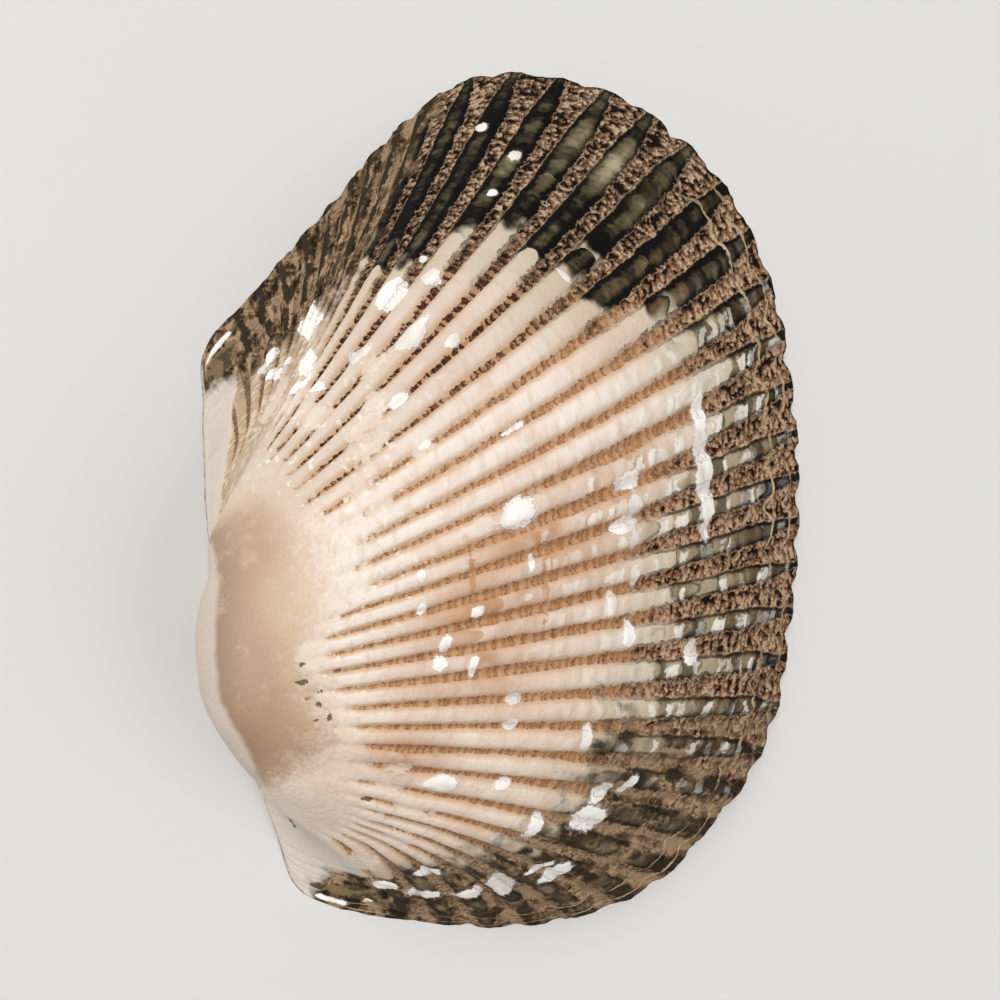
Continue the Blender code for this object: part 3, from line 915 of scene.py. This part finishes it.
class ShaderSheet:
    """The node tree of one finish."""

    near_core: float = 0.4

    def __init__(self, name: str) -> None:
        """Start a material with a bare Principled BSDF."""
        self.material = bpy.data.materials.new(name)
        self.material.use_nodes = True
        self.tree = self.material.node_tree
        self.surface = self.tree.nodes["Principled BSDF"]

    def node(self, kind: str, output: int | str = 0, settings: dict | None = None,
             inputs: dict | None = None) -> Signal:
        """Add a node and return one of its outputs.

        Args:
            kind: The node's type, without its ShaderNode prefix.
            output: Name or number of the output to return.
            settings: Values of the node's own options, set first.
            inputs: Values or signals by socket name or number.

        Returns:
            The output, as a signal.
        """
        node = self.tree.nodes.new("ShaderNode" + kind)
        for name, value in (settings or {}).items():
            setattr(node, name, value)
        for name, value in (inputs or {}).items():
            self.feed(node.inputs[name], value)
        return Signal(self, node.outputs[output])

    def feed(self, socket: bpy.types.NodeSocket, value: "Signal | float | Colour") -> None:
        """Link a signal to a socket, or set its value."""
        if isinstance(value, Signal):
            self.tree.links.new(value.socket, socket)
        else:
            socket.default_value = value

    def math(self, operation: str, first: "Signal | float", second: "Signal | float" = 0.0) -> Signal:
        """Return the result of a Math node."""
        return self.node("Math", settings={"operation": operation}, inputs={0: first, 1: second})

    def also(self, signal: Signal, output: str) -> Signal:
        """Return another output of the node that a signal comes from."""
        return Signal(self, signal.socket.node.outputs[output])

    def field(self, name: str) -> Signal:
        """Return a number stored on the mesh."""
        return self.node("Attribute", output="Fac", settings={"attribute_name": name})

    def place(self) -> Signal:
        """Return the point on the piece."""
        return self.node("TexCoord", output="Object")

    def spread(self, across: Signal, along: Signal) -> Signal:
        """Return two growth coordinates as a vector."""
        return self.node("CombineXYZ", inputs={"X": across, "Y": along})

    def grain(self, size: float, detail: float = 2.0, roughness: float = 0.5) -> Signal:
        """Return noise from 0 to 1 of a feature size in millimetres."""
        return self.node("TexNoise", inputs={"Vector": self.place(), "Scale": 1.0 / (size * MM),
                                             "Detail": detail, "Roughness": roughness})

    def streaks(self, across: Signal, along: Signal, detail: float = 2.0) -> Signal:
        """Return noise from 0 to 1 over two growth coordinates."""
        inputs = {"Vector": self.spread(across, along), "Scale": 1.0, "Detail": detail}
        return self.node("TexNoise", settings={"noise_dimensions": '2D'}, inputs=inputs)

    def crumbs(self, across: Signal, along: Signal) -> Signal:
        """Return the distance from the middles of crumbs laid over two growth coordinates."""
        return self.node("TexVoronoi", output="Distance", settings={"voronoi_dimensions": '2D'},
                         inputs={"Vector": self.spread(across, along), "Scale": 1.0})

    def steps(self, along: Signal) -> Signal:
        """Return the distance from the middles of steps of uneven length, about 1 each, along a line."""
        return self.node("TexVoronoi", output="Distance", settings={"voronoi_dimensions": '1D'},
                         inputs={"W": along, "Scale": 1.0})

    def ramp(self, value: Signal, low: float, high: float) -> Signal:
        """Return an even rise from 0 at low to 1 at high."""
        return self.node("MapRange", settings={"interpolation_type": 'SMOOTHSTEP'},
                         inputs={"Value": value, "From Min": low, "From Max": high})

    def near(self, value: Signal, middle: float, reach: float) -> Signal:
        """Return 1 where a value is close to a middle one, and 0 beyond a reach."""
        return self.ramp(self.math('ABSOLUTE', value - middle), reach, reach * self.near_core)

    def mix(self, under: "Signal | Colour", over: "Signal | Colour", mask: Signal) -> Signal:
        """Return one colour laid over another through a mask."""
        return self.node("Mix", output=2, settings={"data_type": 'RGBA'},
                         inputs={0: mask, 6: under, 7: over})

    def coats(self, colour: "Signal | Colour", *coats: tuple) -> Signal:
        """Return a colour with others laid over it in turn.

        Args:
            colour: The lowest colour.
            coats: The colour, the mask and, if it is under 1, the share of each coat.

        Returns:
            The colour on top.
        """
        for over, mask, *share in coats:
            colour = self.mix(colour, over, mask * share[0] if share else mask)
        return colour

    def bump(self, height: Signal, depth: float) -> Signal:
        """Return a surface normal for a height field of some depth in millimetres."""
        return self.node("Bump", inputs={"Height": height, "Distance": depth * MM, "Strength": 1.0})

    def finish(self, colour: Signal, roughness: Signal, normal: Signal, gloss: float) -> bpy.types.Material:
        """Wire the varying inputs of the surface and return the material."""
        self.feed(self.surface.inputs["Base Color"], colour)
        self.feed(self.surface.inputs["Roughness"], roughness)
        self.feed(self.surface.inputs["Normal"], normal)
        self.feed(self.surface.inputs["Specular IOR Level"], gloss)
        return self.material


@dataclass(frozen=True)
class Rates:
    """How many of each small feature there are over the whole growth, or across one rib.

    A shift moves the rows of each rib against its neighbours', so that they don't line up.
    """

    rungs: float = 132.0
    rung_shift: float = 7.31
    steps: float = 30.0
    step_shift: float = 5.73
    beads: float = 50.0
    bead_shift: float = 3.17
    lines: float = 95.0
    lines_across: float = 1.3
    crumbs: float = 150.0
    crumbs_across: float = 5.5
    holes: float = 30.0
    holes_across: float = 2.1
    streaks: float = 14.0
    streaks_across: float = 3.4


class GrownSheet(ShaderSheet):
    """The outside's node tree, with the growth coordinates and the noises that its colours share."""

    rates: Rates = Rates()
    # How far growth lines bend towards the umbo in a groove, in stages by the square of the way in
    bend: float = 0.13

    def __init__(self) -> None:
        """Read the mesh's fields, and derive the rib, groove and growth coordinates from them."""
        super().__init__("outside")
        self.fine = self.grain(0.28, 1.0, 0.6)
        self.shake = self.fine - 0.5
        self.cloud = self.field("cloud")
        self.haze = self.field("haze")
        self.rib = self.field("rib")
        self.stage = self.field("stage")
        self.skin = self.field("skin")
        wobbly = self.rib + self.cloud * 0.08 + self.shake * 0.08
        self.from_groove = self.math('PINGPONG', wobbly, 0.5)
        drop = 0.5 - self.from_groove
        self.drop = drop * drop
        groove_number = self.math('ROUND', wobbly)
        self.rib_number = self.math('FLOOR', wobbly)
        rung_row = groove_number * self.rates.rung_shift + self.shake * 1.8
        self.rung = self.steps(self.stage * self.rates.rungs + rung_row)
        step_row = self.rib_number * self.rates.step_shift + self.cloud * 0.6
        self.step = self.steps((self.stage + self.drop * self.bend) * self.rates.steps + step_row)
        self.step_shade = self.also(self.step, "Color") - 0.5
        on_ribs = self.ramp(self.field("ear"), 0.1, -0.2)
        lines = self.streaks(self.rib * self.rates.lines_across, self.stage * self.rates.lines)
        self.lines = lines * on_ribs
        self.behind = self.field("posterior")
        self.front = 1.0 - self.behind
        self.ahead = self.field("anterior")
        self.dusky = self.field("dusky")
        self.grooved = self.field("grooved")
        self.begun = self.ramp(self.grooved + self.cloud * 0.8 + self.shake, -0.4, 0.4) * on_ribs
        self.veil = self.ramp(self.field("veil") + self.cloud * 0.6 + self.shake * 1.2, 0.12, 0.42)
        edge = self.field("band") - self.from_groove + (0.25 - self.rung) * 0.04 + self.shake * 0.13
        self.band = self.ramp(edge, -0.02, 0.02) * self.begun * (1.0 - self.veil * 0.85)
        self.band_edge = self.near(edge, 0.02, 0.03) * self.begun
        # The rib's foot beside the band, where a line of painted shade runs
        self.band_crease_shade = self.near(edge, -0.045, 0.045) * self.begun


@dataclass(frozen=True)
class OutsideFinish:
    """The worn outside: pinkish white ribs, brown grooves, tan umbo and dark skin by the margin."""

    rib_white: Colour = tint(240, 226, 214)
    rib_pink: Colour = tint(233, 209, 192)
    rib_peach: Colour = tint(230, 200, 172)
    rib_line: Colour = tint(208, 184, 162)
    # Painted shade: beige-tan laid on each rib's flanks towards the grooves
    rib_flank_shade: Colour = tint(206, 170, 132)
    rib_beige: Colour = tint(184, 156, 122)
    rib_olive: Colour = tint(186, 172, 142)
    rib_shade: Colour = tint(208, 190, 173)
    fleck_cream: Colour = tint(250, 241, 228)
    # Painted shade: the umbo's edge by the crescent, where its surface turns away from the light
    umbo_tan: Colour = tint(190, 162, 136)
    umbo_shade: Colour = tint(166, 141, 117)
    umbo_light: Colour = tint(222, 196, 168)
    # Painted shade: darker brown over the umbo's front, lower side
    umbo_front_shade: Colour = tint(164, 132, 103)
    crescent_white: Colour = tint(206, 192, 179)
    ear_white: Colour = tint(214, 203, 192)
    groove_dark: Colour = tint(84, 48, 36)
    groove_orange: Colour = tint(186, 136, 96)
    groove_pale: Colour = tint(208, 164, 122)
    groove_black: Colour = tint(50, 28, 20)
    groove_wall: Colour = tint(204, 164, 128)
    groove_dusky: Colour = tint(142, 116, 88)
    stain_brown: Colour = tint(184, 130, 82)
    skin_black: Colour = tint(9, 6, 4)
    skin_olive: Colour = tint(92, 84, 60)
    skin_brown: Colour = tint(104, 84, 60)
    skin_pale: Colour = tint(176, 160, 132)
    crumb_brown: Colour = tint(114, 88, 66)
    crumb_red: Colour = tint(136, 98, 72)
    crumb_light: Colour = tint(198, 168, 138)
    crumb_dark: Colour = tint(26, 15, 9)
    streak_mid: Colour = tint(106, 84, 60)
    streak_dark: Colour = tint(52, 40, 27)
    streak_light: Colour = tint(172, 144, 114)
    # Painted highlight on the beads' lower sides
    bead_highlight: Colour = tint(244, 238, 226)
    line_cream: Colour = tint(206, 180, 142)
    chip_white: Colour = tint(253, 248, 242)
    # Painted soft shade on the chips
    chip_shade: Colour = tint(230, 221, 213)
    veil_white: Colour = tint(238, 224, 210)
    pit_grey: Colour = tint(84, 70, 56)
    olive: Colour = tint(124, 108, 76)
    gloss: float = 0.12
    bump_depth: float = 0.12
    growth_lines: tuple[float, ...] = (0.957, 0.987)
    # Growth halts where the painted bead highlights are brightest
    bead_halts: tuple[float, ...] = (0.93, 0.882, 0.82)

    def build(self) -> bpy.types.Material:
        """Make the material."""
        sheet = GrownSheet()
        covered = sheet.ramp(sheet.skin + sheet.step_shade + sheet.cloud * 0.5, -0.05, 0.2)
        colour = sheet.mix(self.bare_ribs(sheet), self.skinned_ribs(sheet), covered)
        colour = self.beads(sheet, colour)
        crumbs = sheet.crumbs(sheet.rib * sheet.rates.crumbs_across + sheet.shake * 2.2,
                              (sheet.stage + sheet.from_groove * 0.02) * sheet.rates.crumbs + sheet.cloud)
        crumbly = sheet.ramp(sheet.skin + sheet.cloud + sheet.shake, -0.9, 0.3)
        bands = sheet.mix(self.grooves(sheet), self.crumbled(sheet, crumbs), crumbly)
        colour = sheet.coats(
            colour,
            # A dark line along each rib's foot beside the skin band: painted shade in the crease
            (self.skin_black, sheet.band_crease_shade * crumbly, 0.7),
            (bands, sheet.band),
            (self.crumb_light, sheet.band_edge * crumbly * sheet.fine, 0.6),
        )
        colour = self.streaky_skin(sheet, colour, crumbly)
        chip = sheet.field("chip") + sheet.cloud * 0.8 + sheet.shake * 0.6
        chips = sheet.ramp(chip, 0.02, 0.11)
        bruised = sheet.ramp(chip, -0.2, 0.1) * 0.25
        colour = self.worn(sheet, colour, sheet.math('MAXIMUM', chips, bruised))
        roughness = 0.40 + sheet.fine * 0.2 + sheet.band * 0.2 + covered * 0.08
        height = sheet.fine * 0.4 + sheet.lines * 0.3 + sheet.band * (sheet.rung * 0.8 - 0.5)
        height = height + chips * 0.3 - crumbly * sheet.band * crumbs * 0.8
        return sheet.finish(colour, roughness, sheet.bump(height, self.bump_depth), self.gloss)

    def bare_ribs(self, sheet: GrownSheet) -> Signal:
        """Return the bare shell's colour: ribs, umbo, crescent and ears."""
        ear = sheet.field("ear")
        white = sheet.ramp(sheet.haze + sheet.cloud, -0.4, 0.3)
        # The ribs' flanks turn beige towards the grooves: painted shade
        side = sheet.ramp(sheet.from_groove, 0.33, 0.10) * sheet.begun
        flecks = sheet.ramp(sheet.grain(0.5, 1.0) + sheet.cloud * 0.1, 0.60, 0.72)
        flecks = flecks * sheet.ramp(sheet.stage, 0.68, 0.40) * (1.0 - sheet.ahead)
        beige = sheet.ramp(sheet.lines + sheet.cloud * 0.5, 0.30, 0.55) * sheet.dusky
        clear = sheet.ramp(sheet.skin + sheet.step_shade, -1.6, 0.3) * (1.0 - sheet.dusky)
        stain = sheet.field("stain") * sheet.ramp(sheet.cloud + sheet.step_shade, -0.9, 0.3)
        rows = sheet.ramp(sheet.field("stain_row") + sheet.shake, 0.0, 0.4)
        colour = sheet.coats(
            self.rib_pink,
            (self.rib_white, white),
            (self.rib_peach, sheet.ahead, 0.3),
            (self.rib_shade, sheet.behind, 0.6),
            (self.rib_line, sheet.ramp(sheet.lines, 0.5, 0.72), 0.35),
            (self.rib_flank_shade, side, 0.8),
            (self.fleck_cream, flecks, 0.8),
            (self.rib_beige, beige, 0.85),
            (self.rib_olive, clear, 0.55),
            (self.stain_brown, sheet.math('MAXIMUM', stain * 0.95, rows * 0.8)),
        )
        colour = self.umbo(sheet, colour)
        return sheet.mix(colour, self.ear_white, sheet.ramp(ear + sheet.cloud * 0.3, -0.1, 0.25))

    def umbo(self, sheet: GrownSheet, colour: Signal) -> Signal:
        """Return the bare shell's colour with the smooth tan umbo, its painted shade, and the pale crescent
        behind it.
        """
        crescent = sheet.field("crescent")
        edge = sheet.field("umbo")
        mottled = sheet.ramp(sheet.cloud + sheet.haze * 0.5 + sheet.shake * 0.8, 0.0, 0.5)
        rim = sheet.ramp(edge + sheet.haze * 0.7, 1.1, -0.1)
        # The cap is darkest along the crescent and over its front: painted shade
        cap = sheet.coats(
            self.umbo_shade,
            (self.umbo_tan, sheet.ramp(crescent, 0.0, -2.6)),
            (self.umbo_light, rim, 0.85),
            (self.umbo_light, mottled, 0.45),
            (self.umbo_front_shade, sheet.ahead, 0.75),
        )
        return sheet.coats(
            colour,
            (cap, sheet.ramp(edge + sheet.cloud * 0.8 + sheet.shake, -0.8, 0.7)),
            (self.crescent_white, sheet.ramp(crescent + sheet.cloud * 0.5, -0.35, 0.35)),
        )

    def grooves(self, sheet: GrownSheet) -> Signal:
        """Return the grooves' colour: dark red-brown behind, orange-brown in front, barred across."""
        depth = sheet.behind * 0.45 + sheet.ramp(sheet.fine + sheet.cloud * 0.3, 0.3, 0.65) * 0.5
        return sheet.coats(
            self.groove_orange,
            (self.groove_dark, sheet.behind),
            (self.groove_pale, sheet.ramp(sheet.grooved + sheet.cloud, 1.4, -0.2), 0.7),
            (self.groove_wall, sheet.ramp(sheet.rung, 0.26, 0.42), 0.7),
            (self.groove_black, sheet.ramp(sheet.rung, 0.17, 0.06) * depth),
            (self.groove_dusky, sheet.dusky, 0.9),
        )

    def crumbled(self, sheet: GrownSheet, crumbs: Signal) -> Signal:
        """Return the colour of the crumbly skin between the ribs."""
        level = crumbs + sheet.shake * 1.2 + sheet.cloud * 0.45 + sheet.behind * 0.08
        return sheet.coats(
            self.crumb_brown,
            (self.crumb_red, sheet.front),
            (self.crumb_light, sheet.ramp(level, 0.40, 0.14)),
            (self.crumb_dark, sheet.ramp(level, 0.50, 0.72)),
        )

    def skinned_ribs(self, sheet: GrownSheet) -> Signal:
        """Return the skin's colour on the ribs: near black, with paler stretches between growth lines, a
        painted highlight along each crest and painted shade at its sides.
        """
        # Paler along the crest, darker at the sides: painted highlight and shade across the rib
        crest = sheet.ramp(sheet.from_groove, 0.24, 0.44) - 0.5
        level = sheet.field("pale") + sheet.step_shade * 0.5 + sheet.shake * 0.25
        level = level + (sheet.lines - 0.5) * 0.45 + crest * 0.3
        middle = sheet.mix(self.skin_olive, self.skin_brown, sheet.front)
        return sheet.coats(
            self.skin_black,
            (middle, sheet.ramp(level, 0.12, 0.50)),
            (self.skin_pale, sheet.ramp(level, 0.45, 0.95)),
            (self.skin_black, sheet.ramp(sheet.step, 0.36, 0.46), 0.65),
        )

    def beads(self, sheet: GrownSheet, colour: Signal) -> Signal:
        """Return the ribs' colour with painted highlights on the rows of beads along the crests, brightest
        at growth halts.
        """
        row = sheet.rib_number * sheet.rates.bead_shift + sheet.cloud * 1.2
        bead = sheet.steps(sheet.stage * sheet.rates.beads + row)
        glint = sheet.also(bead, "Color") + sheet.shake * 0.3
        # The painted highlight sits on the lower half of each rib's crest
        lateral = 1.0 - sheet.math('ABSOLUTE', sheet.math('FRACT', sheet.rib) - 0.58) * 3.6
        shape = sheet.math('MINIMUM', lateral, 1.0 - bead * 2.6) + sheet.shake * 0.8
        for halt in self.bead_halts:
            glint = glint + sheet.near(sheet.stage, halt, 0.012) * 0.45
        amount = sheet.ramp(glint, 0.35, 0.9) * 0.85 + 0.1
        beaded = sheet.ramp(shape, 0.2, 0.5) * sheet.field("beaded") * amount
        return sheet.mix(colour, self.bead_highlight, beaded)

    def streaky_skin(self, sheet: GrownSheet, colour: Signal, crumbly: Signal) -> Signal:
        """Return the colour with the streaky skin near both ears and the olive patches."""
        rates = sheet.rates
        holes = sheet.crumbs(sheet.rib * rates.holes_across + sheet.shake * 0.9,
                             sheet.stage * rates.holes + sheet.cloud * 1.5)
        streaks = sheet.streaks(sheet.rib * rates.streaks_across, sheet.stage * rates.streaks, 3.0)
        streaks = streaks + sheet.shake * 0.5 + (0.24 - sheet.from_groove) * 0.8 + (holes - 0.42) * 0.45
        streaky = sheet.coats(
            self.streak_dark,
            (self.streak_mid, sheet.ramp(streaks, 0.38, 0.50)),
            (self.streak_light, sheet.ramp(streaks, 0.50, 0.70)),
        )
        share = sheet.math('MAXIMUM', sheet.dusky * 1.1, sheet.ahead * 0.62) + sheet.cloud * 0.5
        olive = sheet.ramp(sheet.field("olive") + sheet.cloud * 0.5 + sheet.shake, 0.05, 0.25)
        patch = sheet.mix(self.olive, self.streak_dark, sheet.ramp(streaks, 0.5, 0.35) * 0.7)
        return sheet.coats(colour, (streaky, sheet.ramp(share, 0.35, 0.75) * crumbly), (patch, olive))

    def worn(self, sheet: GrownSheet, colour: Signal, chips: Signal) -> Signal:
        """Return the colour with its growth lines, veils, chips and pits."""
        along = sheet.stage + sheet.drop * 0.03 + sheet.cloud * 0.011 + sheet.shake * 0.006
        faded = sheet.ramp(sheet.haze + sheet.cloud + sheet.shake, -0.5, 0.3) * sheet.front
        for growth_line in self.growth_lines:
            colour = sheet.mix(colour, self.line_cream, sheet.near(along, growth_line, 0.0026) * faded)
        # Chips are white in some patches and greyer in others: painted soft shade
        chip_lit = sheet.ramp(sheet.haze + sheet.cloud * 1.5, -0.6, 0.1)
        pits = sheet.ramp(sheet.field("pit") + sheet.shake * 1.4, 0.2, 0.5)
        return sheet.coats(
            colour,
            (self.veil_white, sheet.veil, 0.6),
            (sheet.mix(self.chip_shade, self.chip_white, chip_lit), chips),
            (self.pit_grey, pits, 0.85),
        )


@dataclass(frozen=True)
class InsideFinish:
    """The inside: smooth cream-white lime with two muscle scars and a faintly stained rim."""

    cream: Colour = tint(232, 224, 211)
    warm: Colour = tint(218, 200, 176)
    scar: Colour = tint(198, 182, 160)
    rim_brown: Colour = tint(160, 130, 98)
    gloss: float = 0.4
    bump_depth: float = 0.06
    pallial_inset: float = 0.34
    pallial_width: float = 0.014
    rim_stain: float = 0.10
    # Muscle scars: rib, inset and half sizes of each
    scars: tuple[tuple[float, float, float, float], ...] = (
        (5.0, 0.46, 3.2, 0.13), (31.0, 0.46, 2.8, 0.13),
    )

    def build(self) -> bpy.types.Material:
        """Make the material."""
        sheet = ShaderSheet("inside")
        broad = sheet.grain(6.0, 3.0)
        fine = sheet.grain(0.5, 3.0)
        inset = sheet.field("inset")
        rib = sheet.field("rib")
        line = sheet.math('ABSOLUTE', inset - self.pallial_inset + (broad - 0.5) * 0.03)
        ribbed = sheet.ramp(sheet.field("ear"), 0.3, -1.0)
        scar = sheet.ramp(line, self.pallial_width, 0.0) * ribbed * 0.6
        for place, depth, half_width, half_depth in self.scars:
            across = (rib - place) * (1.0 / half_width)
            along = (inset - depth) * (1.0 / half_depth)
            field = across * across + along * along + (broad - 0.5) * 0.3
            scar = sheet.math('MAXIMUM', scar, sheet.ramp(field, 1.1, 0.9))
        stain = sheet.ramp(inset + (fine - 0.5) * 0.08, self.rim_stain, 0.0) * ribbed
        colour = sheet.coats(
            self.cream,
            (self.warm, sheet.ramp(broad, 0.40, 0.72)),
            (self.scar, scar, 0.6),
            (self.rim_brown, stain, 0.65),
        )
        normal = sheet.bump(fine * 0.4 - scar * 0.6, self.bump_depth)
        return sheet.finish(colour, 0.3 + fine * 0.15, normal, self.gloss)


@dataclass(frozen=True)
class FloorFinish:
    """The plain pale floor."""

    grey: Colour = tint(214, 214, 212)
    light_grey: Colour = tint(220, 220, 218)
    gloss: float = 0.3
    bump_depth: float = 0.02
    cloud_size: float = 60.0
    grain_size: float = 2.0

    def build(self) -> bpy.types.Material:
        """Make the material."""
        sheet = ShaderSheet("floor")
        cloud = sheet.grain(self.cloud_size)
        colour = sheet.mix(self.grey, self.light_grey, cloud)
        normal = sheet.bump(sheet.grain(self.grain_size), self.bump_depth)
        return sheet.finish(colour, 0.7 + cloud * 0.1, normal, self.gloss)


@dataclass
class Studio:
    """The pale floor, soft light and the camera over the shell, in metres and watts."""

    floor_size: float = 3.0
    camera_height: float = 0.60
    frame_width: float = 0.0585
    sensor: float = 36.0
    roll: float = math.radians(5.405)
    look_at: tuple[float, float] = (0.00033, 0.00004)
    far_end: float = 20.0
    # Soft lights: name, place, width and power
    lights: tuple[tuple[str, Place, float, float], ...] = (
        ("key", (-0.35, 0.40, 0.62), 0.35, 4.2), ("fill", (0.45, -0.30, 0.55), 0.6, 1.7),
    )
    room_colour: Colour = (1.0, 0.985, 0.96, 1.0)
    room_strength: float = 0.45

    def build(self) -> None:
        """Add the floor, the lights and the camera."""
        self.add_floor()
        for name, place, size, power in self.lights:
            self.add_light(name, place, size, power)
        self.add_world()
        self.add_camera()

    def add_floor(self) -> None:
        """Add a plain floor under the shell."""
        bpy.ops.object.select_all(action='DESELECT')
        bpy.ops.mesh.primitive_plane_add(size=self.floor_size)
        floor = bpy.context.object
        floor.name = "floor"
        floor.data.materials.append(FloorFinish().build())

    def add_light(self, name: str, place: Place, size: float, power: float) -> None:
        """Add a square soft light that faces the shell."""
        data = bpy.data.lights.new(name, 'AREA')
        data.size = size
        data.energy = power
        light = bpy.data.objects.new(name, data)
        light.location = place
        light.rotation_euler = Vector(place).to_track_quat('Z', 'Y').to_euler()
        bpy.context.scene.collection.objects.link(light)

    def add_world(self) -> None:
        """Give the room an even pale light."""
        world = bpy.data.worlds.new("studio")
        world.use_nodes = True
        background = world.node_tree.nodes["Background"]
        background.inputs["Color"].default_value = self.room_colour
        background.inputs["Strength"].default_value = self.room_strength
        bpy.context.scene.world = world

    def add_camera(self) -> None:
        """Look straight down, turned as the photograph is."""
        data = bpy.data.cameras.new("camera")
        data.sensor_width = self.sensor
        data.lens = self.sensor * self.camera_height / self.frame_width
        data.clip_end = self.far_end
        camera = bpy.data.objects.new("camera", data)
        camera.location = (self.look_at[0], self.look_at[1], self.camera_height)
        camera.rotation_euler = (0.0, 0.0, -self.roll)
        bpy.context.scene.collection.objects.link(camera)
        bpy.context.scene.camera = camera


def dress_valve() -> bpy.types.Object:
    """Build the valve, give it its finishes and let it stand for its CAD node."""
    valve = Valve(MarginLine(), Ribs(), WearMap())
    piece = valve.build()
    piece.data.materials.append(OutsideFinish().build())
    piece.data.materials.append(InsideFinish().build())
    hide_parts("valve")
    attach(piece, "root")
    return piece


def main() -> None:
    """Load the frame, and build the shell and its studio."""
    logging.basicConfig(level=logging.INFO, format="%(message)s")
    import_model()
    piece = dress_valve()
    LOG.info("built %s with %d faces", piece.name, len(piece.data.polygons))
    Studio().build()
    bpy.context.scene.view_settings.view_transform = 'Standard'


if __name__ == "__main__":
    main()
